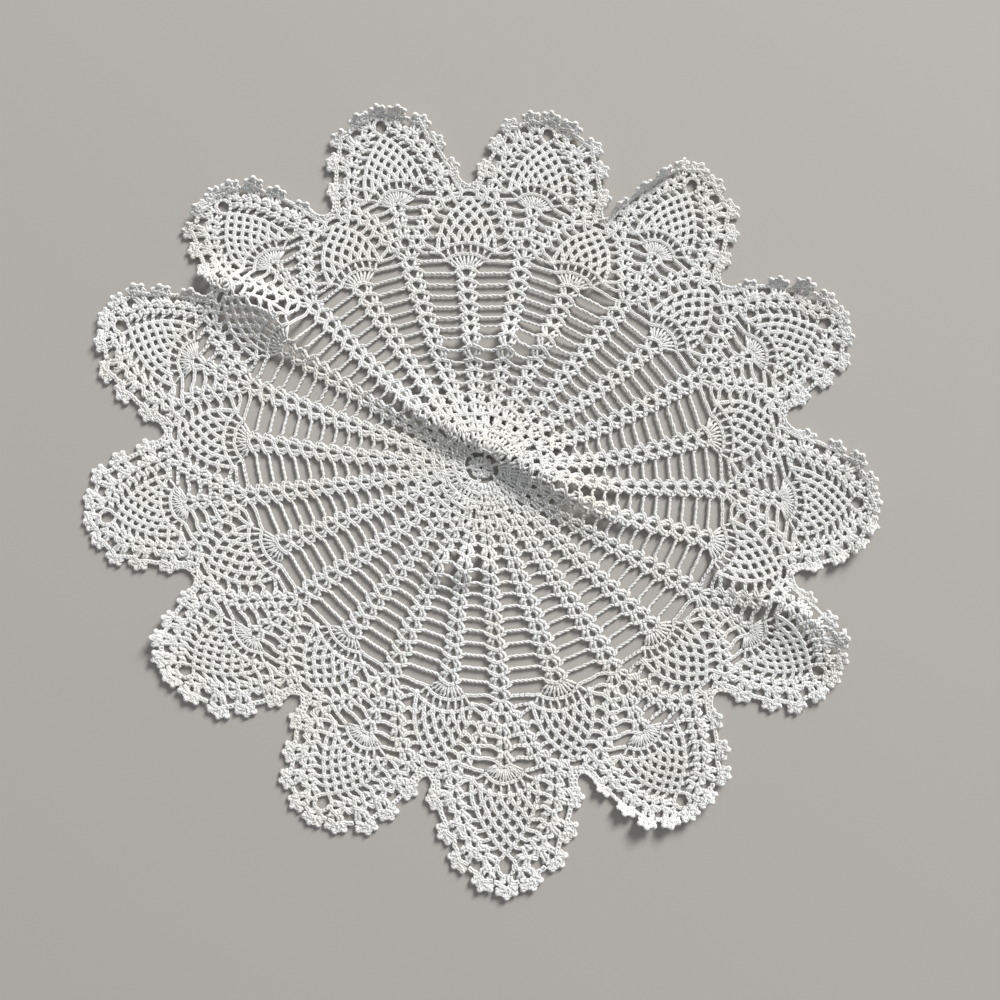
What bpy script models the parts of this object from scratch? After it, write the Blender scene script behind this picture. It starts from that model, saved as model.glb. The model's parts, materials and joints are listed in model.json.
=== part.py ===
"""Lace doily, crocheted in one piece from cotton thread.

The doily is worked in rounds from a small hub: a close disc, twenty-six ribs of
shells joined by chain bars, thirteen pineapples between the ribs, and thirteen
scallops that each hold a second pineapple inside a picot edge. It lies on a flat
surface with an old fold still standing across it and some of the edge turned up.

The pattern is first set out flat, then laid: the spokes table says where each rib
and pineapple comes to rest, the crease tables say where the cloth stands up.
"""
import math
from collections import namedtuple

import bpy
from mathutils import Vector
from mathutils.geometry import delaunay_2d_cdt

MM = 0.001

# flat sizes in millimetres
SCALLOPS = 13
SPOKES = 2 * SCALLOPS
SPOKE_STEP = 2.0 * math.pi / SPOKES
SHELL_ROW = 6.45
LAST_SHELL_HOLE = 111.6
SHELL_ROWS = 14
FIRST_CUT_ROW = 6
RIB_HALF_WIDTH = 3.7
FIRST_BAR_ROW = 5
FIRST_BAR_DROP = 0.4
BAR_DROP_STEP = 0.12
BAR_WIDTH = 1.9
SLOT_POINT = 1.6
FIRST_GAP_INSET = 0.7
GAP_SIDE_INSET = 0.2
FAN_BASE = 148.0
SHEET_THICKNESS = 2.3
BAR_THICKNESS_SHARE = 0.75
THIN_BARS_FROM = 54.0
THIN_BARS_TO = 117.0
THINNING_FROM = 2.5
THINNING_RUN = 2.5

# where the middle of the pattern lies, from the middle of the doily's box
HUB_X = 0.75
HUB_Y = 12.33

# flat radius of each ring that the spokes table places
RING_RADII = (0.0, 65.0, 111.6, 152.0, 211.0)

# each spoke: direction in degrees and reach in mm, ring by ring
Spoke = namedtuple("Spoke", "rib base base_reach shoulder shoulder_reach tip tip_reach")
SPOKE_PLACES = (
    Spoke(351.9, 354.4, 116.5, 353.6, 155.0, 354.8, 203.0),
    Spoke(363.5, 367.5, 114.0, 369.2, 151.0, 369.2, 206.0),
    Spoke(379.0, 382.0, 112.0, 382.7, 152.0, 382.8, 204.0),
    Spoke(393.6, 395.4, 108.0, 397.5, 150.0, 397.5, 203.0),
    Spoke(408.1, 408.9, 104.5, 411.0, 144.2, 414.2, 195.5),
    Spoke(423.5, 423.8, 101.6, 424.2, 138.1, 424.2, 190.0),
    Spoke(438.7, 439.0, 102.0, 438.7, 139.7, 439.0, 190.0),
    Spoke(454.5, 454.7, 101.0, 452.8, 141.7, 452.8, 194.0),
    Spoke(470.8, 469.6, 106.3, 467.8, 146.2, 466.2, 199.5),
    Spoke(484.6, 483.8, 111.0, 481.3, 148.1, 481.3, 202.0),
    Spoke(497.7, 496.4, 113.0, 495.8, 153.6, 494.4, 203.0),
    Spoke(509.6, 508.5, 116.0, 506.8, 157.8, 506.8, 212.0),
    Spoke(521.9, 520.8, 117.0, 519.5, 160.2, 518.3, 212.0),
    Spoke(535.0, 533.8, 116.6, 533.8, 156.4, 533.8, 211.0),
    Spoke(547.7, 547.2, 112.0, 547.2, 153.6, 548.0, 203.6),
    Spoke(561.2, 561.3, 107.6, 560.5, 149.1, 560.5, 202.0),
    Spoke(577.2, 575.9, 106.0, 576.4, 145.2, 574.0, 191.5),
    Spoke(591.9, 591.8, 105.0, 591.8, 140.4, 591.8, 194.0),
    Spoke(606.5, 606.4, 106.0, 606.4, 146.9, 604.3, 197.0),
    Spoke(620.4, 621.3, 107.6, 620.4, 150.0, 620.4, 205.0),
    Spoke(634.2, 634.6, 109.3, 634.2, 152.5, 633.3, 214.0),
    Spoke(648.8, 649.2, 112.0, 647.7, 154.5, 647.7, 211.0),
    Spoke(663.1, 663.1, 114.0, 661.0, 157.1, 660.8, 205.0),
    Spoke(676.2, 676.4, 116.4, 675.8, 156.8, 675.8, 211.0),
    Spoke(688.5, 689.5, 118.5, 688.1, 160.2, 688.8, 208.5),
    Spoke(700.0, 701.9, 119.0, 700.4, 160.3, 700.4, 213.0),
)

# the old fold, station by station from the hub, in mm: place, height, and how far
# its steep side and its easy side run out
Station = namedtuple("Station", "x y height steep easy")
FOLD_STATIONS = (
    Station(-142.5, 97.0, 6.0, 18.0, 16.0),
    Station(-122.5, 87.5, 10.0, 26.0, 18.0),
    Station(-104.0, 76.0, 10.0, 25.0, 18.0),
    Station(-94.0, 64.5, 6.5, 18.0, 18.0),
    Station(-82.0, 54.0, 1.5, 13.0, 20.0),
    Station(-66.5, 44.5, 1.0, 12.0, 22.0),
    Station(-50.5, 36.0, 2.5, 12.0, 24.0),
    Station(-32.5, 27.5, 6.5, 13.0, 26.0),
    Station(-13.0, 17.5, 8.0, 14.5, 28.0),
    Station(5.0, 8.0, 7.2, 11.5, 30.0),
    Station(24.5, -1.5, 9.5, 17.0, 30.0),
    Station(44.5, -13.5, 8.5, 19.0, 28.0),
    Station(59.0, -22.0, 5.0, 16.0, 26.0),
    Station(75.5, -30.0, 1.5, 14.0, 24.0),
    Station(96.5, -43.0, 1.0, 14.0, 24.0),
    Station(127.5, -59.0, 2.0, 18.0, 22.0),
    Station(148.5, -69.5, 5.0, 26.0, 22.0),
    Station(169.0, -78.0, 6.0, 30.0, 22.0),
)

# soft swells beside the fold: place from the hub, height, half length, half width, turn
Swell = namedtuple("Swell", "x y height long wide turn")
SWELLS = (
    Swell(10.0, 64.0, 4.8, 46.0, 13.0, 4.0),
    Swell(-9.0, -51.0, 4.5, 25.0, 13.0, 8.0),
    Swell(60.0, 92.0, 2.2, 30.0, 16.0, 55.0),
)

# each scallop, going round from the first spoke: how wide its first and last side
# are drawn out, and how far its first side, tip and last side turn up, in degrees
Edge = namedtuple("Edge", "first_width last_width first_curl tip_curl last_curl")
SCALLOP_LAY = (
    Edge(1.00, 0.93, 70.0, 12.0, 24.0),
    Edge(1.00, 1.00, 0.0, 10.0, 42.0),
    Edge(0.98, 1.14, 0.0, 8.0, 76.0),
    Edge(1.12, 1.00, 6.0, 26.0, 14.0),
    Edge(1.00, 1.00, 10.0, 52.0, 8.0),
    Edge(0.98, 1.05, 34.0, 34.0, 0.0),
    Edge(1.00, 1.00, 24.0, 10.0, 0.0),
    Edge(1.00, 1.00, 0.0, 0.0, 0.0),
    Edge(0.97, 1.00, 46.0, 8.0, 0.0),
    Edge(1.08, 1.00, 0.0, 0.0, 0.0),
    Edge(1.12, 1.08, 0.0, 6.0, 0.0),
    Edge(1.00, 0.97, 42.0, 34.0, 18.0),
    Edge(1.00, 1.00, 0.0, 10.0, 24.0),
)
WIDTH_RUN = 16.0
CURL_ROUNDING = 6.0
CURL_FADE = 12.0
TIP_CURL_HALF = 7.0
SIDE_CURL_RUN = 12.0

# line where a turned-up edge starts, from the scallop's middle line and fan base
# (across, out)
HINGE_LINE = (
    (33.5, 2.0),
    (31.0, 12.0),
    (27.0, 25.0),
    (20.5, 37.0),
    (12.0, 46.5),
    (0.0, 51.0),
)

# outline of half a scallop from its tip to the notch: picot groups and dips
# (across, out)
SCALLOP_EDGE = (
    (2.2, 63.2),
    (5.0, 60.6),
    (6.3, 58.6),
    (8.4, 61.4),
    (13.0, 61.6),
    (16.4, 57.0),
    (17.6, 53.0),
    (22.0, 51.8),
    (26.9, 46.8),
    (27.0, 41.0),
    (31.8, 36.6),
    (33.9, 29.2),
    (32.4, 24.4),
    (35.9, 19.6),
    (37.0, 11.8),
    (34.9, 6.4),
)
NOTCH_RADIUS = 155.5

# larger gaps above the ladder: across, out, half width, half height
TIP_GAP = (0.0, 47.6, 2.3, 3.7)
FAN_GAP = (10.1, -0.6, 4.8, 2.2)
FAN_GAP_TILT = 0.06
OVAL_POINTS = 6
# gap beside the first fan row: degrees from the scallop's middle line, flat radius
FAN_SIDE_GAP = ((2.2, 113.0), (3.4, 111.4), (10.8, 111.6), (9.4, 115.2), (7.4, 116.0), (3.4, 115.7))

# inside points of the sheet, as rings: flat radius and points to a ring
INSIDE_RINGS = ((0.0, 1), (9.0, 7), (19.0, 13), (30.0, 26), (41.0, 26), (50.0, 26))
# inside points of half a scallop sector: degrees from its middle line, flat radius
SECTOR_POINTS = (
    (0.0, 123.0),
    (0.0, 133.0),
    (0.0, 143.0),
    (0.0, 156.0),
    (0.0, 167.0),
    (0.0, 179.0),
    (6.0, 126.0),
    (5.0, 137.0),
    (9.5, 134.0),
    (8.6, 146.0),
    (4.6, 161.0),
    (4.6, 174.0),
    (9.0, 158.0),
    (8.6, 170.0),
    (5.6, 187.0),
    (13.846, 117.0),
    (13.846, 127.0),
    (13.846, 137.0),
    (13.846, 147.0),
)


def flat_point(spoke, radius):
    """Flat place of a point by spoke number and radius."""
    angle = spoke * SPOKE_STEP
    return Vector((radius * math.cos(angle), radius * math.sin(angle)))


def scallop_point(scallop, across, out):
    """Flat place of a point set out from a scallop's middle line and fan base."""
    angle = 2 * scallop * SPOKE_STEP
    along = Vector((math.cos(angle), math.sin(angle)))
    aside = Vector((-math.sin(angle), math.cos(angle)))
    return along * (FAN_BASE + out) + aside * across


def spoke_shift(spoke, ring):
    """How far a spoke's node moves between the flat pattern and where it lies."""
    row = SPOKE_PLACES[spoke]
    radius = RING_RADII[ring]
    if ring == 0:
        return Vector((0.0, 0.0))
    direction, reach = (
        (row.rib, row.base_reach * radius / RING_RADII[2]),
        (row.base, row.base_reach),
        (row.shoulder, row.shoulder_reach),
        (row.tip, row.tip_reach),
    )[ring - 1]
    place = Vector((math.cos(math.radians(direction)), math.sin(math.radians(direction)))) * reach
    return place - flat_point(spoke, radius)


SHIFTS = [[spoke_shift(spoke, ring) for spoke in range(SPOKES)]
          for ring in range(len(RING_RADII))]


def smooth_between(before, start, end, after, share):
    """Catmull-Rom curve through start and end."""
    two = share * share
    three = two * share
    return 0.5 * (2.0 * start + (end - before) * share
                  + (2.0 * before - 5.0 * start + 4.0 * end - after) * two
                  + (3.0 * start - before - 3.0 * end + after) * three)


def ring_shift(ring, turn):
    """Shift at a turn (in spokes) round one ring."""
    first = math.floor(turn)
    near = [SHIFTS[ring][(first + step) % SPOKES] for step in (-1, 0, 1, 2)]
    return smooth_between(near[0], near[1], near[2], near[3], turn - first)


def plan_place(flat):
    """Where a flat point comes to lie, seen from above, from the hub."""
    radius = flat.length
    turn = (math.atan2(flat.y, flat.x) / SPOKE_STEP) % SPOKES
    ring = 1
    last = len(RING_RADII) - 1
    while ring < last and radius > RING_RADII[ring]:
        ring += 1
    low = RING_RADII[ring - 1]
    high = RING_RADII[ring]
    share = (radius - low) / (high - low)
    start = ring_shift(ring - 1, turn)
    end = ring_shift(ring, turn)
    before = ring_shift(ring - 2, turn) if ring > 1 else start * 2.0 - end
    after = ring_shift(ring + 1, turn) if ring < last else end * 2.0 - start
    if share > 1.0:
        return flat + end + (end - start) * (share - 1.0)
    return flat + smooth_between(before, start, end, after, share)


def rise(share):
    """Smooth step from 0 to 1."""
    share = min(1.0, max(0.0, share))
    return share * share * (3.0 - 2.0 * share)


def fold_slope(left):
    """Height of the fold's sides, by the share of their reach that is left."""
    return left * left * (1.6 - 0.6 * left)


def fold_height(place):
    """Height of the old fold and the swells beside it."""
    best = None
    for start, end in zip(FOLD_STATIONS, FOLD_STATIONS[1:]):
        run = Vector((end.x - start.x, end.y - start.y))
        away = place - Vector((start.x, start.y))
        share = min(1.0, max(0.0, away.dot(run) / run.length_squared))
        offset = away - run * share
        if best is None or offset.length < best[0]:
            side = run.x * away.y - run.y * away.x
            mixed = Station(*[a + (b - a) * share for a, b in zip(start, end)])
            best = (offset.length, side, mixed)
    distance, side, station = best
    reach = station.easy if side > 0.0 else station.steep
    left = max(0.0, 1.0 - distance / reach)
    height = station.height * fold_slope(left)
    for swell in SWELLS:
        away = place - Vector((swell.x, swell.y))
        angle = math.radians(swell.turn)
        along = (away.x * math.cos(angle) + away.y * math.sin(angle)) / swell.long
        aside = (away.y * math.cos(angle) - away.x * math.sin(angle)) / swell.wide
        height += swell.height * rise(1.0 - math.hypot(along, aside))
    return height


def turned_edge(flat):
    """Draw a scallop wide and bend its edge up about the hinge line: place and height."""
    turn = (math.atan2(flat.y, flat.x) / SPOKE_STEP) % SPOKES
    scallop = round(turn / 2.0) % SCALLOPS
    angle = 2 * scallop * SPOKE_STEP
    along = Vector((math.cos(angle), math.sin(angle)))
    aside = Vector((-math.sin(angle), math.cos(angle)))
    out = flat.dot(along) - FAN_BASE
    across = flat.dot(aside)
    if out < 0.0:
        return flat, 0.0
    row = SCALLOP_LAY[scallop]
    width = row.last_width if across > 0.0 else row.first_width
    across *= 1.0 + (width - 1.0) * rise(out / WIDTH_RUN)
    flat = along * (FAN_BASE + out) + aside * across
    here = Vector((abs(across), out))
    best = None
    for start, end in zip(HINGE_LINE, HINGE_LINE[1:]):
        run = Vector(end) - Vector(start)
        away = here - Vector(start)
        share = min(1.0, max(0.0, away.dot(run) / run.length_squared))
        offset = away - run * share
        if best is None or offset.length < best[0]:
            outward = run.y * away.x - run.x * away.y
            foot = Vector(start) + run * share
            best = (offset.length, outward, offset, foot)
    distance, outward, offset, foot = best
    if outward <= 0.0 or distance < 1e-6:
        return flat, 0.0
    side = row.last_curl if across > 0.0 else row.first_curl
    at_side = rise((foot.x - TIP_CURL_HALF) / SIDE_CURL_RUN)
    fade = rise(out / CURL_FADE)
    most = math.radians((row.tip_curl * (1.0 - at_side) + side * at_side) * fade)
    if most < 1e-4:
        return flat, 0.0
    bend_run = CURL_ROUNDING * most
    if distance < bend_run:
        plan = CURL_ROUNDING * math.sin(distance / CURL_ROUNDING)
        height = CURL_ROUNDING * (1.0 - math.cos(distance / CURL_ROUNDING))
    else:
        plan = CURL_ROUNDING * math.sin(most) + (distance - bend_run) * math.cos(most)
        height = CURL_ROUNDING * (1.0 - math.cos(most)) + (distance - bend_run) * math.sin(most)
    new = foot + offset.normalized() * plan
    sign = 1.0 if across > 0.0 else -1.0
    return along * (FAN_BASE + new.y) + aside * (new.x * sign), height


def lay(flat):
    """Where a flat point of the underside lies, in metres, in the doily's own frame."""
    bent, lift = turned_edge(flat)
    place = plan_place(bent)
    height = lift + fold_height(place)
    return Vector(((place.x + HUB_X) * MM, (place.y + HUB_Y) * MM, height * MM))


def clear_scene():
    """Remove what a new file starts with."""
    for item in list(bpy.data.objects):
        bpy.data.objects.remove(item, do_unlink=True)


def outline_points():
    """Outer edge of the flat pattern, all the way round."""
    points = []
    for scallop in range(SCALLOPS):
        for across, out in reversed(SCALLOP_EDGE):
            points.append(scallop_point(scallop, -across, out))
        for across, out in SCALLOP_EDGE:
            points.append(scallop_point(scallop, across, out))
        points.append(flat_point(2 * scallop + 1, NOTCH_RADIUS))
    return points


def bar_radius(row):
    """Flat radius of a row's chain bars, a little inside its shells' holes."""
    hole = LAST_SHELL_HOLE - SHELL_ROW * (SHELL_ROWS - row)
    return hole - FIRST_BAR_DROP - BAR_DROP_STEP * (row - FIRST_BAR_ROW)


def ladder_gap(spoke, row):
    """Gap between two chain bars, from a rib at the spoke to the next one."""
    low = bar_radius(row - 1) + 0.5 * BAR_WIDTH
    high = bar_radius(row) - 0.5 * BAR_WIDTH
    middle = 0.5 * (low + high)
    start = spoke * SPOKE_STEP
    end = start + SPOKE_STEP

    def spot(radius, inset, from_end):
        turn = end - inset / radius if from_end else start + inset / radius
        return Vector((radius * math.cos(turn), radius * math.sin(turn)))

    if row == FIRST_CUT_ROW:
        inset = RIB_HALF_WIDTH + FIRST_GAP_INSET
        return [spot(low, inset, False), spot(low, inset, True),
                spot(high, inset, True), spot(high, inset, False)]
    side = RIB_HALF_WIDTH - GAP_SIDE_INSET
    corner = RIB_HALF_WIDTH + SLOT_POINT
    return [spot(middle, side, False), spot(low, corner, False),
            spot(low, corner, True), spot(middle, side, True),
            spot(high, corner, True), spot(high, corner, False)]


def fan_side_gap(scallop, side):
    """Long gap beside the first fan row, above the last chain bar."""
    turn = 2 * scallop * SPOKE_STEP
    points = []
    for degrees, radius in FAN_SIDE_GAP:
        angle = turn + side * math.radians(degrees)
        points.append(Vector((radius * math.cos(angle), radius * math.sin(angle))))
    return points


def oval_gap(scallop, gap, side, tilt):
    """Rounded gap of a scallop, set out from its middle line."""
    across, out, half_width, half_height = gap
    points = []
    for corner in range(OVAL_POINTS):
        angle = 2.0 * math.pi * (corner + 0.5) / OVAL_POINTS
        x = half_width * math.cos(angle)
        y = half_height * math.sin(angle) + tilt * x
        points.append(scallop_point(scallop, side * (across + x), out + y))
    return points


def gap_loops():
    """Every gap that is cut through."""
    loops = []
    for spoke in range(SPOKES):
        for row in range(FIRST_CUT_ROW, SHELL_ROWS + 1):
            loops.append(ladder_gap(spoke, row))
    for scallop in range(SCALLOPS):
        for side in (1, -1):
            loops.append(fan_side_gap(scallop, side))
            loops.append(oval_gap(scallop, FAN_GAP, side, FAN_GAP_TILT))
        loops.append(oval_gap(scallop, TIP_GAP, 1, 0.0))
    return loops


def inside_points():
    """Points inside the sheet that let it follow the folds."""
    points = []
    for radius, count in INSIDE_RINGS:
        for step in range(count):
            points.append(flat_point(SPOKES * step / count, radius))
    for scallop in range(SCALLOPS):
        for degrees, radius in SECTOR_POINTS:
            spoke = math.radians(degrees) / SPOKE_STEP
            points.append(flat_point(2 * scallop + spoke, radius))
            if 0.0 < spoke < 0.99:
                points.append(flat_point(2 * scallop - spoke, radius))
    return points


def thickness_share(flat):
    """Ribs, disc and pineapples are full; the bars between the ribs are thinner."""
    radius = flat.length
    if radius < THIN_BARS_FROM or radius > THIN_BARS_TO:
        return 1.0
    turn = (math.atan2(flat.y, flat.x) / SPOKE_STEP) % 1.0
    from_rib = min(turn, 1.0 - turn) * SPOKE_STEP * radius
    thinning = rise((from_rib - THINNING_FROM) / THINNING_RUN)
    return 1.0 - (1.0 - BAR_THICKNESS_SHARE) * thinning


def counter_clockwise(loop):
    """The loop, turned round where it runs clockwise."""
    area = sum(a.x * b.y - b.x * a.y for a, b in zip(loop, loop[1:] + loop[:1]))
    return loop if area > 0.0 else loop[::-1]


def lace_sheet():
    """Flat pattern as triangles, with the gaps left out."""
    points = []
    faces = []
    for loop in [counter_clockwise(loop) for loop in [outline_points()] + gap_loops()]:
        faces.append(list(range(len(points), len(points) + len(loop))))
        points.extend(loop)
    points.extend(inside_points())
    found = delaunay_2d_cdt(points, [], faces, 1, 1e-5)
    flat = found[0]
    kept = [face for face, owners in zip(found[2], found[5]) if owners == [0]]
    return flat, kept


def cotton():
    """White cotton thread."""
    material = bpy.data.materials.new("cotton")
    material.use_nodes = True
    shader = material.node_tree.nodes["Principled BSDF"]
    shader.inputs["Base Color"].default_value = (0.88, 0.87, 0.84, 1.0)
    shader.inputs["Roughness"].default_value = 0.9
    return material


def build_doily():
    """The doily: the laid sheet, thickened upward from its underside."""
    collection = bpy.data.collections.new("lace_doily")
    bpy.context.scene.collection.children.link(collection)
    flat, faces = lace_sheet()
    mesh = bpy.data.meshes.new("doily")
    mesh.from_pydata([lay(point) for point in flat], [], faces)
    mesh.update()
    doily = bpy.data.objects.new("doily", mesh)
    collection.objects.link(doily)
    mesh.materials.append(cotton())
    for face in mesh.polygons:
        face.use_smooth = True
    group = doily.vertex_groups.new(name="thickness")
    for number, point in enumerate(flat):
        group.add([number], thickness_share(point), "REPLACE")
    thick = doily.modifiers.new("thickness", "SOLIDIFY")
    thick.thickness = SHEET_THICKNESS * MM
    thick.offset = 1.0
    thick.use_even_offset = False
    thick.vertex_group = "thickness"
    return doily


clear_scene()
build_doily()
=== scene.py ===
"""Looks of the crocheted lace doily: every round is worked stitch by stitch in cotton thread."""
import json
import math

import bpy
import numpy as np
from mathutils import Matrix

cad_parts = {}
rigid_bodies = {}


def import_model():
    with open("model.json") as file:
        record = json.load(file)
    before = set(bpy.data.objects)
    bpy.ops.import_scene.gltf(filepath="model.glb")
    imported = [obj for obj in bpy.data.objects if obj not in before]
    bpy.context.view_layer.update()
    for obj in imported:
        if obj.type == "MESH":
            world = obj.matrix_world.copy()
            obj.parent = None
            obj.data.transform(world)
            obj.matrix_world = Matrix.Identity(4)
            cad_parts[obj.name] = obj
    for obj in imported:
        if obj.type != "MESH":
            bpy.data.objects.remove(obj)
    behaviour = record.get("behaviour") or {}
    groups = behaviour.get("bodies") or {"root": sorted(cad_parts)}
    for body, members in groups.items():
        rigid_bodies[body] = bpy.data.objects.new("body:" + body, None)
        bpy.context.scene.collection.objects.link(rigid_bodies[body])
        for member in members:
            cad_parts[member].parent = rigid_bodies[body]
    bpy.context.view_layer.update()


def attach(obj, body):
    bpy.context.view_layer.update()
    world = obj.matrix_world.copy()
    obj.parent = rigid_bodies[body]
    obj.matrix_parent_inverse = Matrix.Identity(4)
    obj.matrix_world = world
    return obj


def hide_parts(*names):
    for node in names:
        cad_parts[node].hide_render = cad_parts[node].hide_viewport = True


for startup_object in list(bpy.data.objects):
    bpy.data.objects.remove(startup_object)
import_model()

# --- Centre ----------------------------------------------------------------------
# White cotton crochet: a ring of thread with a six-petal flower, close rounds of tall
# stitches, and a last round of three-stitch blocks with twenty-six small gaps between
# them, into which the ribs are worked.

# The doily is crocheted flat and then laid down. An old fold still stands across it,
# some scallops turn up at the edge, and each rib and pineapple has drifted a little.
# Sizes are in mm, and flat places are measured from the hub; the tables say where each
# spoke comes to rest.
MM = 0.001
SCALLOPS = 13
SPOKES = 2 * SCALLOPS
SPOKE_STEP = 2.0 * math.pi / SPOKES
FAN_BASE = 148.0
HUB_PLACE = np.array([0.75, 12.33])
RING_RADII = np.array([0.0, 65.0, 111.6, 152.0, 211.0])
# rib, base and base reach, shoulder and shoulder reach, tip and tip reach: directions in
# degrees, and reaches in mm from the hub
SPOKE_PLACES = np.array((
    (351.9, 354.4, 116.5, 353.6, 155.0, 354.8, 203.0),
    (363.5, 367.5, 114.0, 369.2, 151.0, 369.2, 206.0),
    (379.0, 382.0, 112.0, 382.7, 152.0, 382.8, 204.0),
    (393.6, 395.4, 108.0, 397.5, 150.0, 397.5, 203.0),
    (408.1, 408.9, 104.5, 411.0, 144.2, 414.2, 195.5),
    (423.5, 423.8, 101.6, 424.2, 138.1, 424.2, 190.0),
    (438.7, 439.0, 102.0, 438.7, 139.7, 439.0, 190.0),
    (454.5, 454.7, 101.0, 452.8, 141.7, 452.8, 194.0),
    (470.8, 469.6, 106.3, 467.8, 146.2, 466.2, 199.5),
    (484.6, 483.8, 111.0, 481.3, 148.1, 481.3, 202.0),
    (497.7, 496.4, 113.0, 495.8, 153.6, 494.4, 203.0),
    (509.6, 508.5, 116.0, 506.8, 157.8, 506.8, 212.0),
    (521.9, 520.8, 117.0, 519.5, 160.2, 518.3, 212.0),
    (535.0, 533.8, 116.6, 533.8, 156.4, 533.8, 211.0),
    (547.7, 547.2, 112.0, 547.2, 153.6, 548.0, 203.6),
    (561.2, 561.3, 107.6, 560.5, 149.1, 560.5, 202.0),
    (577.2, 575.9, 106.0, 576.4, 145.2, 574.0, 191.5),
    (591.9, 591.8, 105.0, 591.8, 140.4, 591.8, 194.0),
    (606.5, 606.4, 106.0, 606.4, 146.9, 604.3, 197.0),
    (620.4, 621.3, 107.6, 620.4, 150.0, 620.4, 205.0),
    (634.2, 634.6, 109.3, 634.2, 152.5, 633.3, 214.0),
    (648.8, 649.2, 112.0, 647.7, 154.5, 647.7, 211.0),
    (663.1, 663.1, 114.0, 661.0, 157.1, 660.8, 205.0),
    (676.2, 676.4, 116.4, 675.8, 156.8, 675.8, 211.0),
    (688.5, 689.5, 118.5, 688.1, 160.2, 688.8, 208.5),
    (700.0, 701.9, 119.0, 700.4, 160.3, 700.4, 213.0),
))
# the old fold from end to end: x, y, height, reach of its steep side and of its easy side
FOLD_STATIONS = np.array((
    (-142.5, 97.0, 6.0, 18.0, 16.0),
    (-122.5, 87.5, 10.0, 26.0, 18.0),
    (-104.0, 76.0, 10.0, 25.0, 18.0),
    (-94.0, 64.5, 6.5, 18.0, 18.0),
    (-82.0, 54.0, 1.5, 13.0, 20.0),
    (-66.5, 44.5, 1.0, 12.0, 22.0),
    (-50.5, 36.0, 2.5, 12.0, 24.0),
    (-32.5, 27.5, 6.5, 13.0, 26.0),
    (-13.0, 17.5, 8.0, 14.5, 28.0),
    (5.0, 8.0, 7.2, 11.5, 30.0),
    (24.5, -1.5, 9.5, 17.0, 30.0),
    (44.5, -13.5, 8.5, 19.0, 28.0),
    (59.0, -22.0, 5.0, 16.0, 26.0),
    (75.5, -30.0, 1.5, 14.0, 24.0),
    (96.5, -43.0, 1.0, 14.0, 24.0),
    (127.5, -59.0, 2.0, 18.0, 22.0),
    (148.5, -69.5, 5.0, 26.0, 22.0),
    (169.0, -78.0, 6.0, 30.0, 22.0),
))
FOLD_SHARPNESS = 0.6
# soft swells beside the fold: x, y, height, half length, half width, turn
SWELLS = (
    (10.0, 64.0, 4.8, 46.0, 13.0, 4.0),
    (-9.0, -51.0, 4.5, 25.0, 13.0, 8.0),
    (60.0, 92.0, 2.2, 30.0, 16.0, 55.0),
)
# each scallop: width of its first and last side, then how far its first side, tip and
# last side turn up, in degrees
SCALLOP_LAY = np.array((
    (1.00, 0.93, 70.0, 12.0, 24.0),
    (1.00, 1.00, 0.0, 10.0, 42.0),
    (0.98, 1.14, 0.0, 8.0, 76.0),
    (1.12, 1.00, 6.0, 26.0, 14.0),
    (1.00, 1.00, 10.0, 52.0, 8.0),
    (0.98, 1.05, 34.0, 34.0, 0.0),
    (1.00, 1.00, 24.0, 10.0, 0.0),
    (1.00, 1.00, 0.0, 0.0, 0.0),
    (0.97, 1.00, 46.0, 8.0, 0.0),
    (1.08, 1.00, 0.0, 0.0, 0.0),
    (1.12, 1.08, 0.0, 6.0, 0.0),
    (1.00, 0.97, 42.0, 34.0, 18.0),
    (1.00, 1.00, 0.0, 10.0, 24.0),
))
# how far out a scallop takes to widen, and how its edges round and fade as they turn up
WIDTH_RUN = 16.0
CURL_ROUNDING = 6.0
CURL_FADE = 12.0
TIP_CURL_HALF = 7.0
SIDE_CURL_RUN = 12.0
LEAST_CURL = 1e-4
LEAST_DISTANCE = 1e-6
# where a turned-up edge starts, across and out from the scallop's fan base
HINGE_LINE = np.array((
    (33.5, 2.0), (31.0, 12.0), (27.0, 25.0), (20.5, 37.0), (12.0, 46.5), (0.0, 51.0),
))


def unit(angle):
    """Direction at an angle in radians."""
    return np.stack([np.cos(angle), np.sin(angle)], -1)


def spoke_shifts():
    """How far each spoke's node on each ring moves from flat to where it lies."""
    rib, base, base_reach, shoulder, shoulder_reach, tip, tip_reach = SPOKE_PLACES.T
    axes = unit(np.arange(SPOKES) * SPOKE_STEP)
    rings = (
        (rib, base_reach * RING_RADII[1] / RING_RADII[2]),
        (base, base_reach),
        (shoulder, shoulder_reach),
        (tip, tip_reach),
    )
    shifts = [np.zeros((SPOKES, 2))]
    for radius, (direction, reach) in zip(RING_RADII[1:], rings):
        shifts.append(unit(np.radians(direction)) * reach[:, None] - axes * radius)
    return np.array(shifts)


SHIFTS = spoke_shifts()


def smooth_between(before, start, end, after, share):
    """Smooth curve from start to end that heads for the points before and after them."""
    return 0.5 * (2.0 * start + (end - before) * share
                  + (2.0 * before - 5.0 * start + 4.0 * end - after) * share ** 2
                  + (3.0 * start - before - 3.0 * end + after) * share ** 3)


def ring_shift(ring, turn):
    """Shift at a turn, in spokes, round a ring."""
    first = np.floor(turn).astype(int)
    near = [SHIFTS[ring, (first + step) % SPOKES] for step in (-1, 0, 1, 2)]
    return smooth_between(*near, (turn - first)[:, None])


def rise(share):
    """Smooth step from 0 to 1."""
    share = np.clip(share, 0.0, 1.0)
    return share * share * (3.0 - 2.0 * share)


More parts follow.
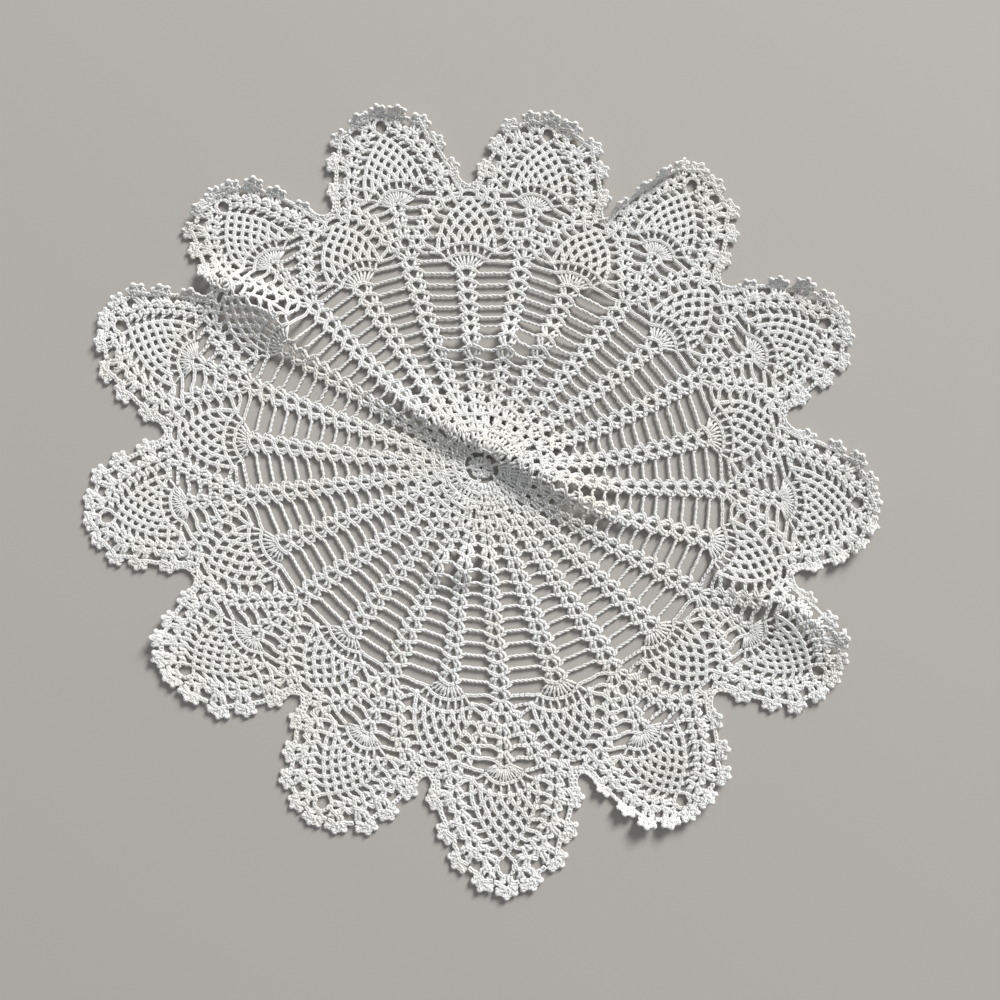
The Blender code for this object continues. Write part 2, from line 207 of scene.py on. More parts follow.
def nearest_on(line, places):
    """Distance, side, leg, share of the leg and offset of each place from a line."""
    best = np.full(len(places), np.inf)
    side, leg, share = np.zeros((3, len(places)))
    offset = np.zeros((len(places), 2))
    for number, (start, end) in enumerate(zip(line, line[1:])):
        run = end - start
        away = places - start
        part = np.clip(away @ run / (run @ run), 0.0, 1.0)
        gap = away - run * part[:, None]
        distance = np.hypot(*gap.T)
        nearer = distance < best
        best[nearer] = distance[nearer]
        side[nearer] = (run[0] * away[:, 1] - run[1] * away[:, 0])[nearer]
        leg[nearer] = number
        share[nearer] = part[nearer]
        offset[nearer] = gap[nearer]
    return best, side, leg.astype(int), share, offset


def plan_place(flat):
    """Where flat points come to lie, seen from above, from the hub."""
    radius = np.hypot(*flat.T)
    turn = (np.arctan2(flat[:, 1], flat[:, 0]) / SPOKE_STEP) % SPOKES
    last = len(RING_RADII) - 1
    ring = 1 + (radius[:, None] > RING_RADII[1:last]).sum(1)
    low = RING_RADII[ring - 1]
    share = ((radius - low) / (RING_RADII[ring] - low))[:, None]
    start = ring_shift(ring - 1, turn)
    end = ring_shift(ring, turn)
    inner = ring_shift(np.maximum(ring - 2, 0), turn)
    outer = ring_shift(np.minimum(ring + 1, last), turn)
    before = np.where((ring > 1)[:, None], inner, 2.0 * start - end)
    after = np.where((ring < last)[:, None], outer, 2.0 * end - start)
    inside = smooth_between(before, start, end, after, share)
    return flat + np.where(share > 1.0, end + (end - start) * (share - 1.0), inside)


def fold_height(places):
    """Height of the old fold and the swells beside it."""
    distance, side, leg, share, _ = nearest_on(FOLD_STATIONS[:, :2], places)
    station = FOLD_STATIONS[leg] + (FOLD_STATIONS[leg + 1] - FOLD_STATIONS[leg]) * share[:, None]
    _, _, crest, steep_reach, easy_reach = station.T
    left = np.maximum(0.0, 1.0 - distance / np.where(side > 0.0, easy_reach, steep_reach))
    height = crest * left * left * (1.0 + FOLD_SHARPNESS - FOLD_SHARPNESS * left)
    for x, y, top, half_long, half_wide, turn in SWELLS:
        away = places - (x, y)
        along = away @ unit(math.radians(turn)) / half_long
        aside = away @ unit(math.radians(turn + 90.0)) / half_wide
        height += top * rise(1.0 - np.hypot(along, aside))
    return height


def turned_edge(flat):
    """Scallops drawn wide and bent up about the hinge line: places and heights."""
    turn = (np.arctan2(flat[:, 1], flat[:, 0]) / SPOKE_STEP) % SPOKES
    scallop = np.rint(turn / 2.0).astype(int) % SCALLOPS
    along = unit(2 * scallop * SPOKE_STEP)
    aside = along[:, ::-1] * (-1.0, 1.0)
    out = (flat * along).sum(1) - FAN_BASE
    across = (flat * aside).sum(1)
    first_width, last_width, first_curl, tip_curl, last_curl = SCALLOP_LAY[scallop].T
    last = across > 0.0
    width = np.where(last, last_width, first_width)
    across = across * (1.0 + (width - 1.0) * rise(out / WIDTH_RUN))
    here = np.stack([np.abs(across), out], -1)
    distance, side, _, _, offset = nearest_on(HINGE_LINE, here)
    foot = here - offset
    at_side = rise((foot[:, 0] - TIP_CURL_HALF) / SIDE_CURL_RUN)
    curl = tip_curl * (1.0 - at_side) + np.where(last, last_curl, first_curl) * at_side
    most = np.radians(curl * rise(out / CURL_FADE))
    turned_up = (side < 0.0) & (distance > LEAST_DISTANCE) & (most > LEAST_CURL)
    bent = np.minimum(distance / CURL_ROUNDING, most)
    straight = distance - CURL_ROUNDING * bent
    plan = CURL_ROUNDING * np.sin(bent) + straight * np.cos(bent)
    lift = CURL_ROUNDING * (1.0 - np.cos(bent)) + straight * np.sin(bent)
    drawn_in = foot + offset * (plan / np.maximum(distance, LEAST_DISTANCE))[:, None]
    across, out_now = np.where(turned_up[:, None], drawn_in, here).T
    across = across * np.where(last, 1.0, -1.0)
    moved = along * (FAN_BASE + out_now)[:, None] + aside * across[:, None]
    beyond_base = out > 0.0
    return np.where(beyond_base[:, None], moved, flat), np.where(turned_up & beyond_base, lift, 0.0)


def lay(flat):
    """Where flat points of the underside lie, in metres."""
    bent, lift = turned_edge(flat)
    places = plan_place(bent)
    height = lift + fold_height(places)
    return np.concatenate([places + HUB_PLACE, height[:, None]], 1) * MM


SLOPE_STEP = 0.5


def laid(points):
    """Places and upward directions of flat points (x, y, height above the underside)."""
    flat = points[:, :2]
    under = lay(flat)
    up = np.cross(lay(flat + (SLOPE_STEP, 0.0)) - under, lay(flat + (0.0, SLOPE_STEP)) - under)
    up /= np.linalg.norm(up, axis=1)[:, None]
    return under + up * (points[:, 2:] * MM), up


# The thread is soft crochet cotton, three strands twisted to about 1 mm thick. It is
# white, a little creamy here and there, with a faint sheen.
THREAD_SIDES = 4
FLOOR_GAP = 0.05
TWIST_PITCH = 2.4
STRANDS = 3
COTTON_WHITE = (0.85, 0.85, 0.83, 1.0)
COTTON_CREAM = (0.82, 0.79, 0.72, 1.0)
# painted shade for the grooves between the twisted strands
PAINTED_GROOVE_SHADE = (0.62, 0.60, 0.56, 1.0)
CREAM_PATCH = 28.0


def cotton_thread():
    """White cotton with the ridges of its twisted strands, and painted shade in the grooves between
    them.
    """
    material = bpy.data.materials.new("cotton")
    material.use_nodes = True
    nodes = material.node_tree.nodes
    links = material.node_tree.links
    shader = nodes["Principled BSDF"]
    shader.inputs["Roughness"].default_value = 0.78
    shader.inputs["Specular IOR Level"].default_value = 0.25
    shader.inputs["Sheen Weight"].default_value = 0.2
    shader.inputs["Sheen Roughness"].default_value = 0.5
    cloth_place = nodes.new("ShaderNodeTexCoord")
    patch = nodes.new("ShaderNodeTexNoise")
    patch.inputs["Scale"].default_value = CREAM_PATCH
    patch.inputs["Detail"].default_value = 4.0
    tint = nodes.new("ShaderNodeValToRGB")
    tint.color_ramp.elements[0].position = 0.42
    tint.color_ramp.elements[0].color = COTTON_WHITE
    tint.color_ramp.elements[1].position = 0.78
    tint.color_ramp.elements[1].color = COTTON_CREAM
    links.new(cloth_place.outputs["Object"], patch.inputs["Vector"])
    links.new(patch.outputs["Fac"], tint.inputs["Fac"])
    thread_place = nodes.new("ShaderNodeUVMap")
    thread_place.uv_map = "thread"
    twist = nodes.new("ShaderNodeTexWave")
    twist.bands_direction = "DIAGONAL"
    # a wave of scale 1 repeats every pi / 5 across the map, so this gives a ridge a strand
    twist.inputs["Scale"].default_value = STRANDS * math.pi / 5.0
    bump = nodes.new("ShaderNodeBump")
    bump.inputs["Strength"].default_value = 0.5
    bump.inputs["Distance"].default_value = 0.0001
    # the low parts of the twist wave get painted shade, darkening the grooves between the strands
    painted_shade_mix = nodes.new("ShaderNodeMix")
    painted_shade_mix.data_type = "RGBA"
    painted_shade_amount = nodes.new("ShaderNodeMapRange")
    painted_shade_amount.inputs["From Max"].default_value = 0.45
    painted_shade_amount.inputs["To Min"].default_value = 0.4
    painted_shade_amount.inputs["To Max"].default_value = 0.0
    links.new(thread_place.outputs["UV"], twist.inputs["Vector"])
    links.new(twist.outputs["Fac"], painted_shade_amount.inputs["Value"])
    links.new(painted_shade_amount.outputs["Result"], painted_shade_mix.inputs["Factor"])
    links.new(tint.outputs["Color"], painted_shade_mix.inputs["A"])
    painted_shade_mix.inputs["B"].default_value = PAINTED_GROOVE_SHADE
    links.new(painted_shade_mix.outputs["Result"], shader.inputs["Base Color"])
    links.new(twist.outputs["Fac"], bump.inputs["Height"])
    links.new(bump.outputs["Normal"], shader.inputs["Normal"])
    return material


COTTON = cotton_thread()


def thread_tubes(strands):
    """Tubes round runs of thread (x, y, height, thickness): vertices, faces and thread map."""
    count, length, _ = strands.shape
    places, up = laid(strands[..., :3].reshape(-1, 3))
    places = places.reshape(count, length, 3)
    up = up.reshape(count, length, 3)
    ahead = np.gradient(places, axis=1)
    ahead /= np.linalg.norm(ahead, axis=2)[..., None]
    aside = np.cross(ahead, up)
    aside /= np.maximum(np.linalg.norm(aside, axis=2)[..., None], LEAST_DISTANCE)
    above = np.cross(aside, ahead)
    turn = np.arange(THREAD_SIDES) * 2.0 * math.pi / THREAD_SIDES
    ring = aside[:, :, None] * np.cos(turn)[:, None] + above[:, :, None] * np.sin(turn)[:, None]
    points = places[:, :, None] + ring * (0.5 * MM * strands[..., 3, None, None])
    # where the cloth is creased hard, the floor holds the thread up a hair above it
    points[..., 2] = np.maximum(points[..., 2], FLOOR_GAP * MM)
    number = np.arange(count * length * THREAD_SIDES).reshape(count, length, THREAD_SIDES)
    low = number[:, :-1]
    high = number[:, 1:]
    walls = np.stack([low, np.roll(low, -1, 2), np.roll(high, -1, 2), high], -1)
    start = number[:, 0, ::-1]
    end = number[:, -1]
    run = np.linalg.norm(np.diff(places, axis=1), axis=2).cumsum(1) / (TWIST_PITCH * MM)
    run = np.concatenate([np.zeros((count, 1)), run], 1)
    wall_map = np.zeros(walls.shape + (2,))
    wall_map[..., 0, 0] = wall_map[..., 1, 0] = run[:, :-1, None]
    wall_map[..., 2, 0] = wall_map[..., 3, 0] = run[:, 1:, None]
    corner = np.arange(THREAD_SIDES) / THREAD_SIDES
    wall_map[..., 0, 1] = wall_map[..., 3, 1] = corner
    wall_map[..., 1, 1] = wall_map[..., 2, 1] = corner + 1.0 / THREAD_SIDES
    faces = np.concatenate([walls.reshape(-1, 4), start, end])
    spread = np.concatenate([wall_map.reshape(-1, 4, 2), np.zeros((2 * count, 4, 2))])
    return points.reshape(-1, 3), faces, spread


def crochet(name, runs):
    """One piece of the doily from runs of thread, each an array of strands."""
    points, faces, spread = [], [], []
    first = 0
    for strands in runs:
        tube_points, tube_faces, tube_map = thread_tubes(strands)
        points.append(tube_points)
        faces.append(tube_faces + first)
        spread.append(tube_map)
        first += len(tube_points)
    mesh = bpy.data.meshes.new(name)
    mesh.from_pydata(np.concatenate(points), [], np.concatenate(faces))
    thread_map = mesh.uv_layers.new(name="thread")
    thread_map.data.foreach_set("uv", np.concatenate(spread).ravel())
    mesh.polygons.foreach_set("use_smooth", np.ones(len(mesh.polygons), bool))
    mesh.materials.append(COTTON)
    mesh.update()
    piece = bpy.data.objects.new(name, mesh)
    bpy.context.scene.collection.objects.link(piece)
    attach(piece, "root")
    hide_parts("doily")
    return piece


CHAIN_PITCH = 2.3
CHAIN_HALF_WIDTH = 0.42
CHAIN_HEIGHT = 1.6
CHAIN_THREAD = 1.0
# one chain link: share of the pitch, share of the half width, height from the middle
CHAIN_LINK = np.array((
    (1.36, 0.50, -0.40),
    (0.82, 1.15, 0.00),
    (0.14, 0.85, 0.20),
    (0.14, -0.85, 0.20),
    (0.82, -1.15, 0.00),
    (1.36, -0.50, -0.40),
))
STITCH_HEIGHT = 1.4
STITCH_SINK = 0.25
STITCH_CORE = 1.45
CORE_POINTS = 3
WRAP_RADIUS = 0.66
WRAP_THREAD = 1.1
WRAP_PITCH = 3.3
WRAP_POINTS = 7
WRAP_START = 2.4
UNEVEN = 0.1
# how much of that a stitch moves to each side, in height, and in thickness
UNEVEN_SHARES = (1.0, 1.0, 0.6, 0.4)
CURVE_PARTS = 5
LEAST_STEP = 1e-9
TOP_HALF_WIDTH = 0.5
TOP_THREAD = 1.15
TOP_HEIGHT = 1.9


def sideways(ahead):
    """Directions to the left of others."""
    return np.asarray(ahead)[..., ::-1] * (-1.0, 1.0)


def smooth_path(path):
    """A smooth curve through the points of an open path."""
    path = np.asarray(path, float)
    points = np.concatenate([[2.0 * path[0] - path[1]], path, [2.0 * path[-1] - path[-2]]])
    share = (np.arange(CURVE_PARTS) / CURVE_PARTS)[:, None]
    legs = [smooth_between(*four, share) for four in zip(points, points[1:], points[2:], points[3:])]
    return np.concatenate(legs + [path[-1:]])


def of_thread(spots, levels, thickness):
    """Strands from their flat places and heights, all of one thickness."""
    return np.concatenate([spots, levels[..., None], np.full(levels.shape + (1,), thickness)], -1)


def run_along(path):
    """A smooth curve through an open path, and how far along it each point is."""
    curve = smooth_path(path)
    steps = np.linalg.norm(np.diff(curve, axis=0), axis=1)
    return curve, np.concatenate([[0.0], np.cumsum(steps)])


def on_curve(curve, run, at):
    """Places and directions at distances along a curve, which runs straight on past its ends."""
    inside = np.clip(at, 0.0, run[-1])
    spot = np.stack([np.interp(inside, run, curve[:, axis]) for axis in (0, 1)], -1)
    slope = np.gradient(curve, run + np.arange(len(run)) * LEAST_STEP, axis=0)
    ahead = np.stack([np.interp(inside, run, slope[:, axis]) for axis in (0, 1)], -1)
    ahead /= np.linalg.norm(ahead, axis=-1)[..., None]
    return spot + ahead * (at - inside)[..., None], ahead


def chain(path, half_width=CHAIN_HALF_WIDTH, thickness=CHAIN_THREAD, height=CHAIN_HEIGHT):
    """Chain stitches along an open path, each a V of thread drawn through the last."""
    curve, run = run_along(path)
    count = max(1, round(run[-1] / CHAIN_PITCH))
    pitch = run[-1] / count
    at = (np.arange(count) * pitch)[:, None] + CHAIN_LINK[:, 0] * pitch
    spot, ahead = on_curve(curve, run, at)
    spot = spot + sideways(ahead) * (CHAIN_LINK[:, 1] * half_width)[:, None]
    level = np.broadcast_to(height + CHAIN_LINK[:, 2] * half_width / CHAIN_HALF_WIDTH, at.shape)
    return [of_thread(spot, level, thickness)]


def stitch_tops(path):
    """The braided line that the tops of a row of stitches make."""
    return chain(path, TOP_HALF_WIDTH, TOP_THREAD, TOP_HEIGHT)


def tall_stitches(feet, tops, girth=1.0, wrap_pitch=WRAP_PITCH):
    """Posts of tall stitches: a thick core of drawn-up loops, and the thread wrapped round it."""
    feet = np.asarray(feet, float)
    tops = np.asarray(tops, float)
    climb = tops - feet
    length = np.hypot(*climb.T)[:, None]
    aside = sideways(climb / length)
    post = []
    for points, across, thickness in (
        (CORE_POINTS, 0.0, STITCH_CORE),
        (WRAP_POINTS, WRAP_RADIUS, WRAP_THREAD),
    ):
        share = np.linspace(0.0, 1.0, points)
        first_turn = np.arange(len(feet))[:, None] * WRAP_START
        turn = first_turn + 2.0 * math.pi * share * length / wrap_pitch
        spot = feet[:, None] + climb[:, None] * share[:, None]
        spot = spot + aside[:, None] * (girth * across * np.cos(turn))[..., None]
        level = STITCH_HEIGHT + girth * across * np.sin(turn) - STITCH_SINK * share ** 2
        post.append(of_thread(spot, level, girth * thickness))
    return post


def worked_round(stitches, repeats, first_spoke=0.0, seed=0, uneven=UNEVEN):
    """One repeat's stitches turned round the hub, each a little uneven."""
    chance = np.random.default_rng(seed)
    turns = first_spoke * SPOKE_STEP + np.arange(repeats) * 2.0 * math.pi / repeats
    rounds = []
    for strands in stitches:
        x, y, level, thickness = np.moveaxis(strands, -1, 0)
        copies = np.concatenate([
            np.stack([x * cosine - y * sine, x * sine + y * cosine, level, thickness], -1)
            for cosine, sine in unit(turns)
        ])
        shifts = chance.normal(0.0, uneven, (len(copies), 1, 4))
        rounds.append(copies + shifts * UNEVEN_SHARES)
    return rounds


def at_polar(radius, turn):
    """Flat points at a radius and a turn in radians."""
    turn = np.asarray(turn, float)
    return np.asarray(radius, float)[..., None] * unit(turn)


def circle(radius, points=48):
    """A closed circle, as an open path whose ends meet."""
    turn = np.linspace(0.0, 2.0 * math.pi, points + 1)
    return at_polar(np.full(len(turn), float(radius)), turn)


def posts_between(foot_radius, top_radius, turns, *girth_and_pitch):
    """Tall stitches that stand outward from one circle to another."""
    feet = at_polar(np.full(len(turns), foot_radius), turns)
    tops = at_polar(np.full(len(turns), top_radius), turns)
    return tall_stitches(feet, tops, *girth_and_pitch)


RING_RADIUS = 1.7
FLOWER_RADIUS = 5.3
FLOWER_STITCHES = 12
PETAL_DIP = 4.5
PETAL_TOP = 5.5
PETAL_SHOULDER = 0.3
SPOKE_RADIUS = 9.3
THIN_SPOKES = np.radians((-170.0, -99.0, -32.0, 20.0, 76.0, 134.0))
CLOSE_GIRTH = 1.15
CLOSE_WRAP_PITCH = 2.9
CLOSE_UNEVEN = 0.28
CLOSE_TOP_HEIGHT = 1.8
LOOP_GRIP = 0.8
# close rounds: radius of the round below, radius of this one, stitches
CLOSE_ROUNDS = ((9.3, 14.1, 39), (14.1, 19.5, 52), (19.5, 24.1, 78))
CLOSE_RADIUS = 24.1
BLOCK_RADIUS = 28.6
BLOCK_STITCHES = np.array((-1.45, 0.0, 1.45))
BLOCK_GATHER = 0.92
BLOCK_EDGE_POINTS = 52
# wide gaps in the last close round: the spokes they lie on, and their edge across, as a
# share of the half width, and in radius
WIDE_GAPS = (2, 6, 10, 15, 19, 23)
WIDE_GAP_HALF = 2.1
WIDE_GAP_CLEAR = 0.7
WIDE_GAP_EDGE = ((-1.1, 24.1), (-0.7, 22.2), (0.0, 20.6), (0.7, 22.2), (1.1, 24.1))


def flower_runs():
    """The ring, the flower's petals and the thin spokes round it."""
    runs = chain(circle(RING_RADIUS)) + chain(circle(SPOKE_RADIUS))
    turns, radii = [], []
    dips = np.append(THIN_SPOKES, THIN_SPOKES[0] + 2.0 * math.pi)
    for dip, next_dip in zip(dips, dips[1:]):
        shoulder = (next_dip - dip) * PETAL_SHOULDER
        turns += [dip, dip + shoulder, next_dip - shoulder]
        radii += [PETAL_DIP, PETAL_TOP, PETAL_TOP]
    runs += chain(at_polar(radii + [PETAL_DIP], turns + [dips[-1]]))
    turns = np.arange(FLOWER_STITCHES) * 2.0 * math.pi / FLOWER_STITCHES
    runs += posts_between(RING_RADIUS, FLOWER_RADIUS, turns, CLOSE_GIRTH)
    return runs + posts_between(FLOWER_RADIUS, SPOKE_RADIUS, THIN_SPOKES)


def close_round_runs():
    """The close rounds of tall stitches, the last of them broken by the wide gaps."""
    runs = []
    gap_turns = np.array(WIDE_GAPS) * SPOKE_STEP
    for below, radius, count in CLOSE_ROUNDS:
        turns = (np.arange(count) + 0.5) * 2.0 * math.pi / count
        if radius == CLOSE_RADIUS:
            away = (turns[:, None] - gap_turns + math.pi) % (2.0 * math.pi) - math.pi
            turns = turns[np.abs(away * radius).min(1) > WIDE_GAP_HALF * WIDE_GAP_CLEAR]
        foot = below - LOOP_GRIP if below > SPOKE_RADIUS else below
        runs += posts_between(foot, radius, turns, CLOSE_GIRTH, CLOSE_WRAP_PITCH)
        if radius < CLOSE_RADIUS:
            runs += chain(circle(radius), TOP_HALF_WIDTH, TOP_THREAD, CLOSE_TOP_HEIGHT)
    turns, radii = [], []
    for spoke in range(SPOKES):
        middle = spoke * SPOKE_STEP
        edge = WIDE_GAP_EDGE if spoke in WIDE_GAPS else ((0.0, CLOSE_RADIUS),)
        turns += [middle + share * WIDE_GAP_HALF / CLOSE_RADIUS for share, _ in edge]
        radii += [radius for _, radius in edge]
        turns.append(middle + 0.5 * SPOKE_STEP)
        radii.append(CLOSE_RADIUS)
    turns.append(turns[0] + 2.0 * math.pi)
    radii.append(radii[0])
    return runs + stitch_tops(at_polar(radii, turns))


def block_runs():
    """The round of three-stitch blocks, one between each two ribs."""
    block = tall_stitches(
        at_polar([CLOSE_RADIUS - LOOP_GRIP] * 3, BLOCK_STITCHES / CLOSE_RADIUS * BLOCK_GATHER),
        at_polar([BLOCK_RADIUS] * 3, BLOCK_STITCHES / BLOCK_RADIUS),
        CLOSE_GIRTH, CLOSE_WRAP_PITCH,
    )
    tops = stitch_tops(circle(BLOCK_RADIUS, BLOCK_EDGE_POINTS))
    return (worked_round(block, SPOKES, first_spoke=0.5, seed=1)
            + worked_round(tops, 1, seed=2, uneven=CLOSE_UNEVEN))


middle_runs = worked_round(flower_runs() + close_round_runs(), 1, uneven=CLOSE_UNEVEN)
centre = crochet("centre", middle_runs + block_runs())

# --- Ribs ------------------------------------------------------------------------
# Twenty-six ribs of shells in the same cotton: two tall stitches, two chains and two
# tall stitches, all worked in the gap of the shell below. Chain bars, drawn tight and
# longer in every round, join the ribs.
SHELL_ROW = 6.45
SHELL_ROWS = 14
FIRST_SHELL_ROW = 2
LAST_INNER_ROW = 8
LAST_SHELL_HOLE = 111.6
SHELL_GIRTH = 1.28
HOLE_TOP = 2.1
# half of a shell's top edge: share of the half gap and mm across, mm out, share of its droop
SHELL_EDGE = (
    (0.00, 0.0, HOLE_TOP, 0.0),
    (0.78, 0.0, HOLE_TOP - 0.3, 0.0),
    (1.00, 1.3, 0.9, 0.0),
    (1.00, 3.1, 0.4, 1.0),
)
# its two stitches on a side: foot across and out, top past the gap and out, share of its droop
SHELL_POSTS = (
    (0.4, HOLE_TOP - LOOP_GRIP, 1.15, 0.5, 0.0),
    (1.3, HOLE_TOP - 0.5 - LOOP_GRIP, 2.9, 0.0, 1.0),
)
# the gap opens a little more in every row, but leaves this much room on each side
FIRST_HALF_HOLE = 0.5
HALF_HOLE_GROWTH = 0.13
SHELL_SIDE = 3.0
# after this row, each row's bars draw its shells' sides further in and hang further in
LEVEL_ROW = 5
FIRST_DROOP = 0.1
DROOP_GROWTH = 0.08
BAR_SINK = 0.4
BAR_SINK_GROWTH = 0.12
# where a long bar bends beside each shell: past the gap, out, and the room that it needs
BAR_BEND = 4.4
BAR_BEND_RISE = 0.1
BAR_BEND_ROOM = 0.6
# shells with less room than this past the gap have a shorter top edge
EDGE_ROOM = 3.6
BAR_RADIUS = 0.36
BAR_THREAD = 1.1
BAR_TURN = 4.6
BAR_TURN_POINTS = 6
TOPS_SEED = 100
BARS_SEED = 200
OUTWARD = np.array((1.0, 0.0))


def shell_edge(hole, ahead, half_hole, droop):
    """Top edge of a shell from right to left, over its tall stitches and its gap."""
    left = sideways(ahead)
    profile = [(share * half_hole + more, out - fall * droop) for share, more, out, fall in SHELL_EDGE]
    half = [hole + ahead * out + left * across for across, out in profile]
    other = [hole + ahead * out - left * across for across, out in profile[:0:-1]]
    return other + half


def shell_stitches(below, hole, ahead, half_hole, droop):
    """The four tall stitches of a shell, worked over the loop of the gap below."""
    climb = (hole - below) / np.hypot(*(hole - below))
    foot_left = sideways(climb)
    left = sideways(ahead)
    feet, tops = [], []
    for foot_across, foot_out, past_gap, out, fall in SHELL_POSTS:
        for side in (1.0, -1.0):
            feet.append(below + climb * foot_out + foot_left * (side * foot_across))
            tops.append(hole + ahead * (out - fall * droop) + left * (side * (half_hole + past_gap)))
    return tall_stitches(feet, tops, SHELL_GIRTH)


def tight_chain(path):
    """A chain drawn tight, so that its links close up like two threads twisted together."""
    curve, run = run_along(path)
    turns = max(1, round(run[-1] / BAR_TURN))
    at = np.linspace(0.0, run[-1], turns * BAR_TURN_POINTS + 1)
    spot, ahead = on_curve(curve, run, at)
    twist = 2.0 * math.pi * turns * at / run[-1] + np.array([[0.0], [math.pi]])
    spot = spot + sideways(ahead) * (BAR_RADIUS * np.cos(twist))[..., None]
    return [of_thread(spot, CHAIN_HEIGHT + BAR_RADIUS * np.sin(twist), BAR_THREAD)]


def turned(point, angle):
    """A point turned round the hub."""
    along = unit(angle)
    return point @ np.array((along, sideways(along)))


def rib_rows(first, last):
    """Stitches of the ribs and bars from one row to another."""
    runs = []
    for row in range(first, last + 1):
        radius = LAST_SHELL_HOLE - SHELL_ROW * (SHELL_ROWS - row)
        half_step = 0.5 * SPOKE_STEP * radius
        rows_on = max(0, row - LEVEL_ROW)
        droop = FIRST_DROOP + DROOP_GROWTH * rows_on
        half_hole = FIRST_HALF_HOLE + HALF_HOLE_GROWTH * (row - FIRST_SHELL_ROW)
        half_hole = min(half_hole, half_step - SHELL_SIDE)
        hole = OUTWARD * radius
        below = OUTWARD * (radius - SHELL_ROW)
        shell = shell_stitches(below, hole, OUTWARD, half_hole, droop)
        runs += worked_round(shell, SPOKES, seed=row)
        edge = shell_edge(hole, OUTWARD, half_hole, droop)
        if half_step < half_hole + EDGE_ROOM:
            edge = edge[1:-1]
        runs += worked_round(stitch_tops(edge), SPOKES, seed=TOPS_SEED + row)
        bar = radius - BAR_SINK - BAR_SINK_GROWTH * rows_on
        path = [edge[-1], at_polar(bar, 0.5 * SPOKE_STEP), turned(edge[0], SPOKE_STEP)]
        if half_step > half_hole + BAR_BEND + BAR_BEND_ROOM:
            bend = (half_hole + BAR_BEND) / radius
            path.insert(1, at_polar(bar + BAR_BEND_RISE, bend))
            path.insert(3, at_polar(bar + BAR_BEND_RISE, SPOKE_STEP - bend))
        runs += worked_round(tight_chain(path), SPOKES, seed=BARS_SEED + row)
    return runs


inner_ribs = crochet("inner_ribs", rib_rows(FIRST_SHELL_ROW, LAST_INNER_ROW))
outer_ribs = crochet("outer_ribs", rib_rows(LAST_INNER_ROW + 1, SHELL_ROWS))

# --- Side shells and inner pineapples --------------------------------------------
# On thirteen ribs a fan of tall stitches is worked in one gap, then a row of single
# stitches, then rows of chain loops in the same cotton, one fewer in each, up to a
# point. The other ribs widen and split into two columns of shells, one on each side.
TURN_COS = math.cos(SPOKE_STEP)
TURN_SIN = math.sin(SPOKE_STEP)


def on_each_scallop(stitches, seed):
    """One scallop's stitches worked on all thirteen."""
    return worked_round(stitches, SCALLOPS, 0.0, seed)


def on_each_pineapple(stitches, seed):
    """One inner pineapple's stitches worked on all thirteen, each a spoke on from a scallop."""
    return worked_round(stitches, SCALLOPS, 1.0, seed)


def on_scallop(points):
    """Points given across and out from a scallop's middle line."""
    return np.asarray(points, float)[..., ::-1]


def beside_pineapple(points):
    """Points given by distance from the next pineapple's middle line, and out."""
    across, out = np.moveaxis(np.asarray(points, float), -1, 0)
    return np.stack([out * TURN_COS + across * TURN_SIN, out * TURN_SIN - across * TURN_COS], -1)


def whole_row(half):
    """Half a row of points across and out, made whole from its far side over the middle."""
    half = np.asarray(half, float)
    mirror = half[::-1] * (-1.0, 1.0)
    return on_scallop(np.concatenate([mirror[:-1] if half[0, 0] == 0.0 else mirror, half]))


def with_mirror(stitches):
    """Stitches and their mirror image about the scallop's middle line."""
    return stitches + [strands * (1.0, -1.0, 1.0, 1.0) for strands in stitches]


# one leg of the thread over a lower loop's top: across, along, height
KNOT_LEG = np.array(((0.45, -1.1, 0.80), (0.58, -0.4, 1.75), (0.54, 0.4, 1.95), (0.20, 1.0, 1.1)))
KNOT_THREAD = 1.45


def knots(places):
    """Short stitches that hold each loop to the loop below."""
    legs = []
    for side in (1.0, -1.0):
        spots = places[:, None] + KNOT_LEG[:, 1::-1] * (1.0, side)
        legs.append(of_thread(spots, np.broadcast_to(KNOT_LEG[:, 2], spots.shape[:2]), KNOT_THREAD))
    return legs


LOOP_HALF_WIDTH = 0.48
LOOP_THREAD = 1.35
# where a loop bends: share of the way from its top to its foot, out and across
LOOP_SHOULDER = (0.36, 0.60)


def lattice(half_rows, work, seed):
    """Rows of chain loops, each hung between the tops of the row below."""
    rows = [whole_row(half) for half in half_rows]
    runs = []
    for lower, upper in zip(rows, rows[1:]):
        for start, top, end in zip(lower, upper, lower[1:]):
            left, right = [top + (foot - top) * LOOP_SHOULDER for foot in (start, end)]
            path = (start, left, top, right, end)
            runs += work(chain(path, LOOP_HALF_WIDTH, LOOP_THREAD), seed)
            seed += 1
        runs += work(knots(lower), seed)
        seed += 1
    return runs


def fan(feet, tops, top_line, girth, work, seed):
    """A fan of tall stitches from one gap, with its braided top edge."""
    stitches = tall_stitches(whole_row(feet), whole_row(tops), girth)
    return work(stitches + chain(whole_row(top_line)), seed)


def middle_shell(below, radius, half_hole, droop):
    """A shell on a scallop's middle line, from the radius of the gap below and its own."""
    return shell_stitches(OUTWARD * below, OUTWARD * radius, OUTWARD, half_hole, droop)


SIDE_DROOP = 0.3
JOIN_THREAD = 1.15
JOIN_SEED_STEP = 40


